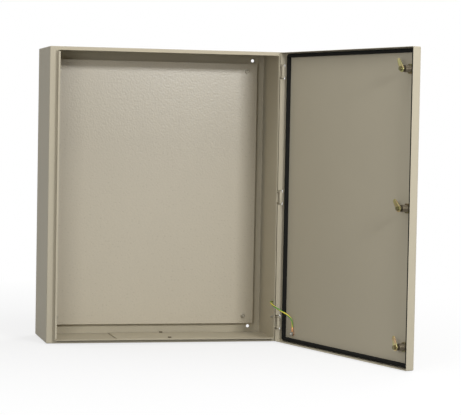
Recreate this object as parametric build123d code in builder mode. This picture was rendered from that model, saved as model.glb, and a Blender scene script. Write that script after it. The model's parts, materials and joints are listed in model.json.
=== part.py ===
import os
from math import pi, radians, tan

from build123d import *

os.makedirs("parts", exist_ok=True)

# Frame: X to the right, Y back to the wall, Z up, in millimetres.
# The origin is on the wall, at the centre of the four wall holes.
# "Front" distances are measured forward from the wall.

# Cabinet
cabinet_width = 650
cabinet_height = 800
cabinet_depth = 250
sheet = 1.2
bend_radius = 2.4

# Front frame of the body
lock_flange = 21.5
hinge_flange = 18
end_flange = 9
lip_height = 15
lip_corner_radius = 4
hem_width = 3.8

# Wall holes
wall_hole_radius = 4.5
wall_hole_side_margin = 35
wall_hole_end_margin = 18

# Door
door_depth = 23
door_gap = 3
door_inset = 1
door_sheet = 1.2
door_bend_radius = 3
door_open_angle = 105

# Door gasket
gasket_width = 10
gasket_crown = 3.5
gasket_corner_radius = 8
gasket_clearance = 0.3

# Hinges: the pin stands in front of the flange, close to the right side
hinge_end_margin = 54
hinge_side_margin = 6
hinge_stand_off = 10
hinge_pin_radius = 2.5
pin_head_radius = 4
pin_head_height = 1.6
pin_head_edge = 0.6
bracket_height = 34
bracket_base_width = 12
bracket_base_inboard = 8
bracket_base_thickness = 2
bracket_ear_thickness = 4
bracket_ear_radius = 4.5
knuckle_radius = 4.5
knuckle_running_clearance = 0.1
knuckle_end_clearance = 0.2
knuckle_web = 2.5
knuckle_foot_inboard = 7
knuckle_foot_width = 8.5
knuckle_foot_thickness = 1.5
notch_height = 40
notch_depth = 16
notch_reach = 4

# Mounting plate and its studs
plate_side_gap = 25
plate_end_gap = 28
plate_thickness = 2
plate_corner_radius = 4
plate_stand_off = 16
plate_stud_side_margin = 30
plate_stud_end_margin = 22
plate_hole_clearance = 0.4
spacer_radius = 6

# M6 hardware
m6_radius = 3
m6_nut_across_flats = 10
m6_nut_height = 5
m6_washer_radius = 6.2
m6_washer_thickness = 1.6
m6_thread_clearance = 0.05
m6_washer_clearance = 0.2
m6_stud_end = 3

# Locks
lock_side_margin = 41
lock_end_margin = 55
lock_head_radius = 12
lock_head_height = 3
lock_head_edge = 1
lock_barrel_radius = 9
lock_barrel_length = 21
lock_hole_clearance = 0.2
lock_nut_across_flats = 24
lock_nut_height = 5
core_radius = 6.5
core_running_clearance = 0.05
core_front_recess = 1
core_collar_radius = 7.5
core_end_play = 0.2
core_square = 8
core_square_clearance = 0.05
socket_radius = 4.2
socket_depth = 7
cam_thickness = 2.5
cam_flange_clearance = 0.4
cam_reach = 30
cam_hub_radius = 9
cam_tip_radius = 6
cam_screw_radius = 3
cam_screw_shank = 9
cam_screw_hole_depth = 12
cam_screw_washer_radius = 6
cam_screw_washer_thickness = 1.2
cam_screw_across_flats = 10
cam_screw_head_height = 4
cam_screw_thread_clearance = 0.05
# How far each cam is turned away from its latched place as the door stands open
cam_rest_turns = {"upper": 123, "middle": 135, "lower": 110}

# Gland plate on the floor
gland_opening_width = 260
gland_opening_depth = 100
gland_side_overlap = 20
gland_end_overlap = 25
gland_plate_thickness = 1.5
gland_plate_corner_radius = 6
gland_gasket_thickness = 1
gland_gasket_inset = 3
gland_offset = 30
gland_front = 88
gland_screw_clearance = 12
gland_screw_head_radius = 5
gland_screw_head_height = 3.2
gland_screw_radius = 2.5
gland_screw_tip = 2
gland_hole_clearance = 0.3

# Earth studs, ring lugs and the bonding wire
stud_base_radius = 5
stud_base_thickness = 1.5
stud_length = 13
lug_ring_radius = 6
lug_thickness = 1.2
lug_barrel_radius = 2.6
lug_barrel_length = 12
lug_neck_share = 0.8
body_stud_setback = 44
body_stud_rise = 64
door_stud_side_margin = 64
door_stud_rise = 27
wire_radius = 2.1
wire_rise = 16.5
wire_drop = 19
# Points of the wire's route between the two lugs
wire_way = [
    (313, -193.5, -292),
    (301.5, -212, -290),
    (297.5, -234, -294),
    (303, -254, -302),
    (317, -270, -311),
    (333, -282, -321),
]

# Places worked out from the sizes above
body_depth = cabinet_depth - door_depth - door_gap
lip_front = body_depth + lip_height
frame_width = cabinet_width - 2 * bend_radius
frame_height = cabinet_height - 2 * bend_radius
lip_x = (lock_flange - hinge_flange) / 2
lip_width = cabinet_width - lock_flange - hinge_flange
lip_length = cabinet_height - 2 * end_flange
opening_width = lip_width - 2 * sheet
opening_height = lip_length - 2 * sheet
door_width = cabinet_width - 2 * door_inset
door_height = cabinet_height - 2 * door_inset
door_rear = cabinet_depth - door_depth
door_skin = cabinet_depth - door_sheet
gasket_height = door_skin - lip_front - gasket_clearance
hinge_x = cabinet_width / 2 - hinge_side_margin
hinge_front = body_depth + hinge_stand_off
hinge_height = cabinet_height / 2 - hinge_end_margin
knuckle_length = bracket_height - 2 * bracket_ear_thickness - 2 * knuckle_end_clearance
plate_width = cabinet_width - 2 * plate_side_gap
plate_height = cabinet_height - 2 * plate_end_gap
plate_back = sheet + plate_stand_off
plate_front = plate_back + plate_thickness
stud_x = plate_width / 2 - plate_stud_side_margin
stud_z = plate_height / 2 - plate_stud_end_margin
lock_x = lock_side_margin - door_width / 2
lock_height = cabinet_height / 2 - lock_end_margin
lock_barrel_end = cabinet_depth - lock_barrel_length
cam_front = body_depth - sheet - cam_flange_clearance
cam_back = cam_front - cam_thickness
floor_z = -cabinet_height / 2
side_x = cabinet_width / 2 - sheet
body_stud_front = body_depth - body_stud_setback
body_stud_z = floor_z + body_stud_rise
door_stud_x = door_width / 2 - door_stud_side_margin
door_stud_z = door_stud_rise - door_height / 2

gland_plate_width = gland_opening_width + 2 * gland_side_overlap
gland_plate_depth = gland_opening_depth + 2 * gland_end_overlap
gland_screw_side = gland_opening_depth / 2 + gland_screw_clearance

levels = {"upper": 1, "middle": 0, "lower": -1}
door_swing = Pos(hinge_x, -hinge_front) * Rot(0, 0, door_open_angle) * Pos(-hinge_x, hinge_front)


def wall_plane(front):
    """Plane facing the viewer at a distance in front of the wall."""
    return Plane.XZ.offset(front)


def door_plane(front):
    """The same plane carried round with the open door."""
    return Plane(door_swing * wall_plane(front).location)


def door_level(height):
    """Level plane carried round with the open door."""
    return Plane(door_swing * Plane.XY.offset(height).location)


door_outward = Axis(door_plane(0).origin, door_plane(0).z_dir)


def save(piece, name):
    piece.part.label = name
    export_step(piece.part, f"parts/{name}.step")


# Body shell: a folded box, its mouth bounded by the front bends
with BuildPart() as body_shell:
    with BuildSketch(wall_plane(0)):
        Rectangle(cabinet_width, cabinet_height)
    extrude(amount=body_depth)
    fillet(body_shell.edges(), radius=bend_radius)
    offset(amount=-sheet, mode=Mode.SUBTRACT)
    with BuildSketch(wall_plane(body_depth)):
        Rectangle(frame_width, frame_height)
    extrude(amount=-sheet, mode=Mode.SUBTRACT)
    with BuildSketch(wall_plane(0)):
        with GridLocations(
            cabinet_width - 2 * wall_hole_side_margin, cabinet_height - 2 * wall_hole_end_margin, 2, 2
        ):
            Circle(wall_hole_radius)
    extrude(amount=sheet, mode=Mode.SUBTRACT)
    with BuildSketch(Plane.XY.offset(floor_z)):
        with Locations((gland_offset, -gland_front)):
            Rectangle(gland_opening_width, gland_opening_depth)
            with GridLocations(0, 2 * gland_screw_side, 1, 2):
                Circle(gland_screw_radius + gland_hole_clearance)
    extrude(amount=sheet, mode=Mode.SUBTRACT)
save(body_shell, "body_shell")

# Front frame in the shell's mouth: flanges, a rain lip all round and a hem on the lock side
with BuildPart() as frame_ring:
    with BuildSketch(wall_plane(body_depth - sheet)):
        Rectangle(frame_width, frame_height)
        with Locations((lip_x, 0)):
            RectangleRounded(opening_width, opening_height, lip_corner_radius - sheet, mode=Mode.SUBTRACT)
    extrude(amount=sheet)
    with BuildSketch(wall_plane(body_depth)):
        with Locations((lip_x, 0)):
            RectangleRounded(lip_width, lip_length, lip_corner_radius)
            RectangleRounded(opening_width, opening_height, lip_corner_radius - sheet, mode=Mode.SUBTRACT)
    extrude(amount=lip_height)
    with BuildSketch(wall_plane(lip_front)):
        with Locations((lip_x - opening_width / 2, 0)):
            Rectangle(hem_width, opening_height - 2 * lip_corner_radius, align=(Align.MIN, Align.CENTER))
    extrude(amount=-sheet)

# The frame's four sides meet in mitres that run from its corners to the lip's corners
mitre_drop = end_flange + sheet - bend_radius
lock_mitre = frame_height / 2 - mitre_drop * frame_width / 2 / (lock_flange + sheet - bend_radius)
hinge_mitre = frame_height / 2 - mitre_drop * frame_width / 2 / (hinge_flange + sheet - bend_radius)


def frame_corner(across, along):
    """Outer corner of the front frame on one side and at one end."""
    return (across * frame_width / 2, along * frame_height / 2)


def frame_side(*mitres):
    """One side of the front frame, cut out along its mitres."""
    with BuildPart() as side:
        add(frame_ring.part)
        with BuildSketch(wall_plane(body_depth - sheet)):
            Polygon(*mitres, align=None)
        extrude(amount=sheet + lip_height, mode=Mode.INTERSECT)
    return side


top_mitres = [frame_corner(-1, 1), (0, lock_mitre), (0, hinge_mitre), frame_corner(1, 1)]
bottom_mitres = [frame_corner(-1, -1), (0, -lock_mitre), (0, -hinge_mitre), frame_corner(1, -1)]
lock_mitres = [frame_corner(-1, 1), (0, lock_mitre), (0, -lock_mitre), frame_corner(-1, -1)]
hinge_mitres = [frame_corner(1, 1), (0, hinge_mitre), (0, -hinge_mitre), frame_corner(1, -1)]
save(frame_side(*top_mitres), "top_frame")
save(frame_side(*bottom_mitres), "bottom_frame")
save(frame_side(*lock_mitres), "lock_side_frame")
save(frame_side(*hinge_mitres), "hinge_side_frame")

# Mounting plate on four studs
with BuildPart() as mounting_plate:
    with BuildSketch(wall_plane(plate_back)):
        RectangleRounded(plate_width, plate_height, plate_corner_radius)
        with GridLocations(2 * stud_x, 2 * stud_z, 2, 2):
            Circle(m6_radius + plate_hole_clearance, mode=Mode.SUBTRACT)
    extrude(amount=plate_thickness)
save(mounting_plate, "mounting_plate")

nut_seat = plate_front + m6_washer_thickness
with BuildPart() as plate_studs:
    with BuildSketch(wall_plane(sheet)):
        with GridLocations(2 * stud_x, 2 * stud_z, 2, 2):
            Circle(spacer_radius)
    extrude(amount=plate_stand_off)
    with BuildSketch(wall_plane(plate_back)):
        with GridLocations(2 * stud_x, 2 * stud_z, 2, 2):
            Circle(m6_radius)
    extrude(amount=plate_thickness + m6_washer_thickness + m6_nut_height + m6_stud_end)
save(plate_studs, "plate_studs")

with BuildPart() as plate_washers:
    with BuildSketch(wall_plane(plate_front)):
        with GridLocations(2 * stud_x, 2 * stud_z, 2, 2):
            Circle(m6_washer_radius)
            Circle(m6_radius + m6_washer_clearance, mode=Mode.SUBTRACT)
    extrude(amount=m6_washer_thickness)
save(plate_washers, "plate_washers")

with BuildPart() as plate_nuts:
    with BuildSketch(wall_plane(nut_seat)):
        with GridLocations(2 * stud_x, 2 * stud_z, 2, 2):
            RegularPolygon(m6_nut_across_flats / 2, 6, major_radius=False)
            Circle(m6_radius + m6_thread_clearance, mode=Mode.SUBTRACT)
    extrude(amount=m6_nut_height)
save(plate_nuts, "plate_nuts")

# Gland plate on the floor, over the cable entry, with its gasket and its screws
gland_gasket_bottom = floor_z + sheet
gland_plate_bottom = gland_gasket_bottom + gland_gasket_thickness
gland_plate_top = gland_plate_bottom + gland_plate_thickness
with BuildPart() as gland_plate_gasket:
    with BuildSketch(Plane.XY.offset(gland_gasket_bottom)):
        with Locations((gland_offset, -gland_front)):
            Rectangle(gland_plate_width - 2 * gland_gasket_inset, gland_plate_depth - 2 * gland_gasket_inset)
            Rectangle(gland_opening_width, gland_opening_depth, mode=Mode.SUBTRACT)
            with GridLocations(0, 2 * gland_screw_side, 1, 2):
                Circle(gland_screw_radius + gland_hole_clearance, mode=Mode.SUBTRACT)
    extrude(amount=gland_gasket_thickness)
save(gland_plate_gasket, "gland_plate_gasket")

with BuildPart() as gland_plate:
    with BuildSketch(Plane.XY.offset(gland_plate_bottom)):
        with Locations((gland_offset, -gland_front)):
            RectangleRounded(gland_plate_width, gland_plate_depth, gland_plate_corner_radius)
            with GridLocations(0, 2 * gland_screw_side, 1, 2):
                Circle(gland_screw_radius + gland_hole_clearance, mode=Mode.SUBTRACT)
    extrude(amount=gland_plate_thickness)
save(gland_plate, "gland_plate")

with BuildPart() as gland_plate_screws:
    with BuildSketch(Plane.XY.offset(gland_plate_top)):
        with Locations((gland_offset, -gland_front)):
            with GridLocations(0, 2 * gland_screw_side, 1, 2):
                Circle(gland_screw_head_radius)
    extrude(amount=gland_screw_head_height)
    with BuildSketch(Plane.XY.offset(gland_plate_top)):
        with Locations((gland_offset, -gland_front)):
            with GridLocations(0, 2 * gland_screw_side, 1, 2):
                Circle(gland_screw_radius)
    extrude(amount=floor_z - gland_screw_tip - gland_plate_top)
save(gland_plate_screws, "gland_plate_screws")


def hinge_bracket(height):
    """Welded bracket on the flange: a base plate and two ears round the pin."""
    bottom = height - bracket_height / 2
    base_x = hinge_x - bracket_base_inboard + bracket_base_width / 2
    base_y = -body_depth - bracket_base_thickness / 2
    with BuildPart() as bracket:
        with BuildSketch(Plane.XY.offset(bottom)):
            with Locations((base_x, base_y)):
                Rectangle(bracket_base_width, bracket_base_thickness)
        extrude(amount=bracket_height)
        for ear_bottom in (bottom, bottom + bracket_height - bracket_ear_thickness):
            with BuildSketch(Plane.XY.offset(ear_bottom)):
                with Locations((hinge_x, -hinge_front)):
                    Circle(bracket_ear_radius)
                with Locations((base_x, base_y)):
                    Rectangle(bracket_base_width, bracket_base_thickness)
                make_hull()
            extrude(amount=bracket_ear_thickness)
        with BuildSketch(Plane.XY.offset(bottom)):
            with Locations((hinge_x, -hinge_front)):
                Circle(hinge_pin_radius)
        extrude(amount=bracket_height, mode=Mode.SUBTRACT)
    return bracket


def hinge_pin(height):
    """Headed pin, dropped in from above and held by the two ears."""
    bottom = height - bracket_height / 2
    with BuildPart() as pin:
        with BuildSketch(Plane.XY.offset(bottom)):
            with Locations((hinge_x, -hinge_front)):
                Circle(hinge_pin_radius)
        extrude(amount=bracket_height)
        with BuildSketch(Plane.XY.offset(bottom + bracket_height)):
            with Locations((hinge_x, -hinge_front)):
                Circle(pin_head_radius)
        extrude(amount=pin_head_height)
        fillet(pin.edges().sort_by(Axis.Z)[-1], radius=pin_head_edge)
    return pin


def door_knuckle(height):
    """Barrel round the pin, with a web and a foot welded to the door's skin."""
    foot_front = door_skin - knuckle_foot_thickness
    with BuildPart() as knuckle:
        with BuildSketch(door_level(height - knuckle_length / 2)):
            with Locations((hinge_x, -hinge_front)):
                Circle(knuckle_radius)
                Rectangle(knuckle_web, foot_front - hinge_front, align=(Align.CENTER, Align.MAX))
            with Locations((hinge_x - knuckle_foot_inboard, -door_skin)):
                Rectangle(knuckle_foot_width, knuckle_foot_thickness, align=(Align.MIN, Align.MIN))
            with Locations((hinge_x, -hinge_front)):
                Circle(hinge_pin_radius + knuckle_running_clearance, mode=Mode.SUBTRACT)
        extrude(amount=knuckle_length)
    return knuckle


for level, side in levels.items():
    save(hinge_bracket(side * hinge_height), f"{level}_hinge_bracket")
    save(hinge_pin(side * hinge_height), f"{level}_hinge_pin")
    save(door_knuckle(side * hinge_height), f"{level}_door_knuckle")

# Door panel: a pan with returns on all four sides, notched at the hinges
with BuildPart() as door_panel:
    with BuildSketch(door_plane(door_rear)):
        Rectangle(door_width, door_height)
    extrude(amount=door_depth)
    rear_face = door_panel.faces().sort_by(door_outward)[0]
    fillet(door_panel.edges() - rear_face.edges(), radius=door_bend_radius)
    offset(amount=-door_sheet, openings=door_panel.faces().sort_by(door_outward)[0])
    with BuildSketch(door_plane(door_rear)):
        with Locations(*[(door_width / 2, side * hinge_height) for side in levels.values()]):
            Rectangle(2 * notch_reach, notch_height)
    extrude(amount=notch_depth, mode=Mode.SUBTRACT)
    with BuildSketch(door_plane(cabinet_depth)):
        with Locations(*[(lock_x, side * lock_height) for side in levels.values()]):
            Circle(lock_barrel_radius + lock_hole_clearance)
    extrude(amount=-door_sheet, mode=Mode.SUBTRACT)
save(door_panel, "door_panel")

# Gasket: a crowned foam strip on the door, facing the lip
gasket_mid_width = lip_width - sheet
gasket_mid_length = lip_length - sheet
with BuildPart() as door_gasket:
    with BuildSketch(door_plane(door_skin)):
        with Locations((lip_x, 0)):
            RectangleRounded(
                gasket_mid_width + gasket_width, gasket_mid_length + gasket_width, gasket_corner_radius
            )
            Rectangle(gasket_mid_width - gasket_width, gasket_mid_length - gasket_width, mode=Mode.SUBTRACT)
    extrude(amount=-gasket_height)
    fillet(door_gasket.edges().group_by(door_outward)[0], radius=gasket_crown)
save(door_gasket, "door_gasket")


def lock_housing(height):
    """Head in front of the door and a barrel through it."""
    with BuildPart() as housing:
        with BuildSketch(door_plane(cabinet_depth)):
            with Locations((lock_x, height)):
                Circle(lock_head_radius)
        extrude(amount=lock_head_height)
        fillet(housing.edges().sort_by(door_outward)[-1], radius=lock_head_edge)
        with BuildSketch(door_plane(cabinet_depth)):
            with Locations((lock_x, height)):
                Circle(lock_barrel_radius)
        extrude(amount=-lock_barrel_length)
        with BuildSketch(door_plane(lock_barrel_end)):
            with Locations((lock_x, height)):
                Circle(core_radius)
        extrude(amount=lock_barrel_length + lock_head_height, mode=Mode.SUBTRACT)
    return housing


def lock_nut(height):
    """Hexagon nut that clamps the housing to the door's skin."""
    with BuildPart() as nut:
        with BuildSketch(door_plane(door_skin)):
            with Locations((lock_x, height)):
                RegularPolygon(lock_nut_across_flats / 2, 6, major_radius=False)
                Circle(lock_barrel_radius + m6_thread_clearance, mode=Mode.SUBTRACT)
        extrude(amount=-lock_nut_height)
    return nut


def lock_core(height, tongue_angle):
    """Turning core with a triangular key socket, a collar and a square for the cam."""
    core_front = cabinet_depth + lock_head_height - core_front_recess
    collar_front = lock_barrel_end - core_end_play
    turned = Location((lock_x, height, 0), (0, 0, tongue_angle))
    with BuildPart() as core:
        with BuildSketch(door_plane(core_front)):
            with Locations((lock_x, height)):
                Circle(core_radius - core_running_clearance)
        extrude(amount=collar_front - core_front)
        with BuildSketch(door_plane(collar_front)):
            with Locations((lock_x, height)):
                Circle(core_collar_radius)
        extrude(amount=cam_front - collar_front)
        with BuildSketch(door_plane(cam_front)):
            with Locations(turned):
                Rectangle(core_square, core_square)
        extrude(amount=-cam_thickness)
        with BuildSketch(door_plane(core_front)):
            with Locations(turned):
                RegularPolygon(socket_radius, 3)
        extrude(amount=-socket_depth, mode=Mode.SUBTRACT)
        with BuildSketch(door_plane(cam_back)):
            with Locations((lock_x, height)):
                Circle(cam_screw_radius)
        extrude(amount=cam_screw_hole_depth, mode=Mode.SUBTRACT)
    return core


def lock_cam(height, tongue_angle):
    """Tongue that swings behind the body's flange."""
    square_hole = core_square + 2 * core_square_clearance
    with BuildPart() as cam:
        with BuildSketch(door_plane(cam_front)):
            with Locations(Location((lock_x, height, 0), (0, 0, tongue_angle))):
                Circle(cam_hub_radius)
                with Locations((cam_reach - cam_tip_radius, 0)):
                    Circle(cam_tip_radius)
                make_hull()
                Rectangle(square_hole, square_hole, mode=Mode.SUBTRACT)
        extrude(amount=-cam_thickness)
    return cam


def cam_screw(height):
    """Hexagon screw with a washer face that holds the cam on its square."""
    with BuildPart() as screw:
        with BuildSketch(door_plane(cam_back)):
            with Locations((lock_x, height)):
                Circle(cam_screw_washer_radius)
        extrude(amount=-cam_screw_washer_thickness)
        with BuildSketch(door_plane(cam_back - cam_screw_washer_thickness)):
            with Locations((lock_x, height)):
                RegularPolygon(cam_screw_across_flats / 2, 6, major_radius=False)
        extrude(amount=-cam_screw_head_height)
        with BuildSketch(door_plane(cam_back)):
            with Locations((lock_x, height)):
                Circle(cam_screw_radius - cam_screw_thread_clearance)
        extrude(amount=cam_screw_shank)
    return screw


latched_angle = 180
for level, side in levels.items():
    height = side * lock_height
    tongue_angle = latched_angle - cam_rest_turns[level]
    save(lock_housing(height), f"{level}_lock_housing")
    save(lock_nut(height), f"{level}_lock_nut")
    save(lock_core(height, tongue_angle), f"{level}_lock_core")
    save(lock_cam(height, tongue_angle), f"{level}_lock_cam")
    save(cam_screw(height), f"{level}_cam_screw")


def earth_stud(seat):
    """Welded stud with a collar, standing on a seat plane."""
    with BuildPart() as stud:
        with BuildSketch(seat):
            Circle(stud_base_radius)
        extrude(amount=stud_base_thickness)
        with BuildSketch(seat):
            Circle(m6_radius)
        extrude(amount=stud_length)
    return stud


def ring_lug(seat):
    """Ring terminal on the stud's collar, its barrel pointing up."""
    with BuildPart() as lug:
        with BuildSketch(seat.offset(stud_base_thickness)):
            Circle(lug_ring_radius)
            with Locations((0, lug_ring_radius)):
                Rectangle(2 * lug_barrel_radius * lug_neck_share, 2 * lug_barrel_radius)
            Circle(m6_radius + m6_washer_clearance, mode=Mode.SUBTRACT)
        extrude(amount=lug_thickness)
        barrel_axis = seat.from_local_coords((0, lug_ring_radius, stud_base_thickness + lug_barrel_radius))
        with BuildSketch(Plane(barrel_axis)):
            Circle(lug_barrel_radius)
        extrude(amount=lug_barrel_length)
    return lug


def earth_nut(seat):
    """Nut that clamps the lug."""
    with BuildPart() as nut:
        with BuildSketch(seat.offset(stud_base_thickness + lug_thickness)):
            RegularPolygon(m6_nut_across_flats / 2, 6, major_radius=False)
            Circle(m6_radius + m6_thread_clearance, mode=Mode.SUBTRACT)
        extrude(amount=m6_nut_height)
    return nut


def barrel_end(seat):
    """Point where the wire leaves a lug's barrel."""
    height = lug_ring_radius + lug_barrel_length
    return seat.from_local_coords((0, height, stud_base_thickness + lug_barrel_radius))


body_stud_seat = Plane(
    origin=(side_x, -body_stud_front, body_stud_z), x_dir=(0, -1, 0), z_dir=(-1, 0, 0)
)
door_stud_place = door_plane(door_skin).from_local_coords((door_stud_x, door_stud_z, 0))
door_stud_seat = Plane(
    origin=door_stud_place, x_dir=-door_plane(0).x_dir, z_dir=-door_plane(0).z_dir
)
for holder, seat in {"body": body_stud_seat, "door": door_stud_seat}.items():
    save(earth_stud(seat), f"{holder}_earth_stud")
    save(ring_lug(seat), f"{holder}_earth_lug")
    save(earth_nut(seat), f"{holder}_earth_nut")


def bend_radii(points):
    """Largest bends that the runs beside each point allow."""
    run_share = 0.45
    places = [Vector(*point) for point in points]
    runs = [end - start for start, end in zip(places, places[1:])]
    return [
        run_share * min(before.length, after.length) / tan(radians(before.get_angle(after)) / 2)
        for before, after in zip(runs, runs[1:])
    ]


# Bonding wire: up from the body's lug, round the lip and down to the door's lug
wire_start = barrel_end(body_stud_seat)
wire_end = barrel_end(door_stud_seat)
wire_route = [
    wire_start,
    wire_start + Vector(0, 0, wire_rise),
    *wire_way,
    wire_end + Vector(0, 0, wire_drop),
    wire_end,
]
wire_radii = bend_radii(wire_route)
with BuildPart() as bonding_wire:
    with BuildLine() as wire_path:
        FilletPolyline(*wire_route, radius=wire_radii)
    with BuildSketch(Plane(wire_start)):
        Circle(wire_radius)
    sweep()
save(bonding_wire, "bonding_wire")
wire_length = sum(edge.length for edge in wire_path.edges())
print("wire bends", [round(radius, 1) for radius in wire_radii])
print("wire points", [tuple(round(value, 2) for value in Vector(*point)) for point in wire_route])
print("wire length", round(wire_length, 1))
print("wire volume", round(bonding_wire.part.volume, 1))
print("wire section times length", round(pi * wire_radius**2 * wire_length, 1))
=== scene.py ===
import json
import math

import bmesh
import bpy
from bpy.props import FloatProperty, FloatVectorProperty, IntProperty, PointerProperty
from mathutils import Matrix, Vector


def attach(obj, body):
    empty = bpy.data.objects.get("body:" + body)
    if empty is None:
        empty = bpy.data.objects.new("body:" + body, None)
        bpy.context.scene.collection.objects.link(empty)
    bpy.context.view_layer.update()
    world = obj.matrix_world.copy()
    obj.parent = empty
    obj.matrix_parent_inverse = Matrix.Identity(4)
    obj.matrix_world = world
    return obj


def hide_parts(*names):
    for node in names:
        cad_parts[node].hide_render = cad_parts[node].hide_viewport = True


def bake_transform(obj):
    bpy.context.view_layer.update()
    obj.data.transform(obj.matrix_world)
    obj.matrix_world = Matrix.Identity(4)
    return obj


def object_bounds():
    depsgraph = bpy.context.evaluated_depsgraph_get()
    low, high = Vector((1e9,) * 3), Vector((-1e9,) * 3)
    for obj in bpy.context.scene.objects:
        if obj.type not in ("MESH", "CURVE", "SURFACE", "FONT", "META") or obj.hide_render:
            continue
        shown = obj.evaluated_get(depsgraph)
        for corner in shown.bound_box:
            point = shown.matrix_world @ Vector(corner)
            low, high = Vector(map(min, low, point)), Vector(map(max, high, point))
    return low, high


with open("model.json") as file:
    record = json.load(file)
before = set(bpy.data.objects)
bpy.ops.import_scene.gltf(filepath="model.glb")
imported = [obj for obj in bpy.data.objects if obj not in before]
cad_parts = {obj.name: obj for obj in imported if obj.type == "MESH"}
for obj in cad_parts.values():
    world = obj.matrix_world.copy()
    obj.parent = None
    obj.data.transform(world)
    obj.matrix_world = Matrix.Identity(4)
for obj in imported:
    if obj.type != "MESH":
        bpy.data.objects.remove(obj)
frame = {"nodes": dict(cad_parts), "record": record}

bl_info = {
    "name": "Wall cabinet dresser",
    "version": (1, 0, 0),
    "blender": (4, 5, 0),
    "location": "View3D > Sidebar > Cabinet",
    "description": "Finishes and small hardware for a sheet-steel wall cabinet with an open door",
    "category": "Object",
}

LEVELS = ("upper", "middle", "lower")
CAD_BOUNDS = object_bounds()
MADE_FINISHES = {}

# Points of the bonding wire's route, from the body's lug to the door's lug
WIRE_ROUTE = (
    (0.3197, -0.1800, -0.3180),
    (0.3197, -0.1800, -0.3015),
    (0.3130, -0.1935, -0.2920),
    (0.3015, -0.2120, -0.2900),
    (0.2975, -0.2340, -0.2940),
    (0.3030, -0.2540, -0.3020),
    (0.3170, -0.2700, -0.3110),
    (0.3330, -0.2820, -0.3210),
    (0.34461, -0.28822, -0.3350),
    (0.34461, -0.28822, -0.3540),
)


def length_prop(name, description, default):
    """A length in metres for the sidebar."""
    return FloatProperty(
        name=name, description=description, default=default, min=0, unit="LENGTH", precision=5
    )


def colour_prop(name, description, default):
    """A linear colour for the sidebar."""
    return FloatVectorProperty(
        name=name, description=description, default=default, size=3, min=0, max=1, subtype="COLOR"
    )


def share_prop(name, description, default):
    """A share from nothing to one for the sidebar."""
    return FloatProperty(name=name, description=description, default=default, min=0, max=1, subtype="FACTOR")


def angle_prop(name, description, degrees):
    """An angle for the sidebar, given in degrees."""
    return FloatProperty(name=name, description=description, default=math.radians(degrees), subtype="ANGLE")


def number_prop(name, description, default, least=0, unit="NONE"):
    """A plain number for the sidebar, with a unit where it has one."""
    return FloatProperty(name=name, description=description, default=default, min=least, unit=unit)


class CabinetFinishes(bpy.types.PropertyGroup):
    """Colours and textures of the cabinet's finishes."""

    coat: colour_prop("Powder coat", "Pebble-grey coat of the body and the door", (0.50, 0.452, 0.342))
    plate: colour_prop("Plate coat", "Textured coat of the mounting plate", (0.50, 0.452, 0.352))
    zinc: colour_prop("Zinc plate", "Plating of earth studs, their nuts and hinge pins", (0.48, 0.46, 0.41))
    dull_zinc: colour_prop("Dull zinc", "Dull plating of the plate's hardware", (0.40, 0.37, 0.30))
    yellow_zinc: colour_prop("Yellow zinc", "Yellow plating of the lock tongues", (0.46, 0.40, 0.19))
    # Partly painted shade: the die-cast metal's satin colour is brought far down for the shade the lock
    # barrels and gland screws sit in
    die_cast: colour_prop("Die-cast zinc", "Satin metal of locks and gland screws", (0.15, 0.125, 0.085))
    pale_foam: colour_prop("Pale foam", "Grey foam under the gland plate", (0.22, 0.195, 0.15))
    foam: colour_prop("Gasket foam", "Black foam of the door gasket", (0.010, 0.010, 0.009))
    green: colour_prop("Wire green", "Main colour of the bonding wire", (0.06, 0.30, 0.05))
    yellow: colour_prop("Wire yellow", "Stripe of the bonding wire", (0.80, 0.62, 0.05))
    copper: colour_prop("Copper", "Bare metal of the ring lugs", (0.83, 0.42, 0.20))
    peel_size: length_prop("Peel size", "Distance between the bumps of the powder coat", 0.0022)
    plate_peel_size: length_prop("Plate peel size", "Distance between the bumps of the plate's coat", 0.0050)
    peel_depth: length_prop("Peel depth", "Height of the bumps of the powder coat", 0.00007)
    plate_peel_depth: length_prop("Plate peel depth", "Height of the bumps of the plate's coat", 0.00027)


class CabinetHardware(bpy.types.PropertyGroup):
    """Sizes of the small hardware."""

    edge: length_prop("Broken edge", "Width of the broken edges of stamped and turned pieces", 0.00035)
    stamped_edge: length_prop("Stamped edge", "Rounding of the lock tongues' stamped edges", 0.0006)
    pan_edge: length_prop("Pan head edge", "Rounding of the gland plate's screw heads", 0.0010)
    head_edge: length_prop("Lock head edge", "Rounding of the lock heads in front of the door", 0.0010)
    lug_edge: length_prop("Lug edge", "Width of the broken edges of the ring lugs", 0.00018)
    thread_pitch: length_prop("Stud pitch", "Pitch of the M6 threads", 0.0010)
    thread_depth: length_prop("Stud thread depth", "Depth of the M6 threads", 0.0005)
    barrel_pitch: length_prop("Lock pitch", "Pitch of the thread on the lock barrels", 0.0015)
    barrel_depth: length_prop("Lock thread depth", "Depth of the thread on the lock barrels", 0.0007)
    wire_radius: length_prop("Wire radius", "Radius of the bonding wire over its insulation", 0.0021)
    wire_twist: number_prop("Wire twist", "Turns of the stripe per metre of wire", 9.0)
    wire_sides: IntProperty(name="Wire sides", description="Faces round the wire", default=24, min=8)


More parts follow.
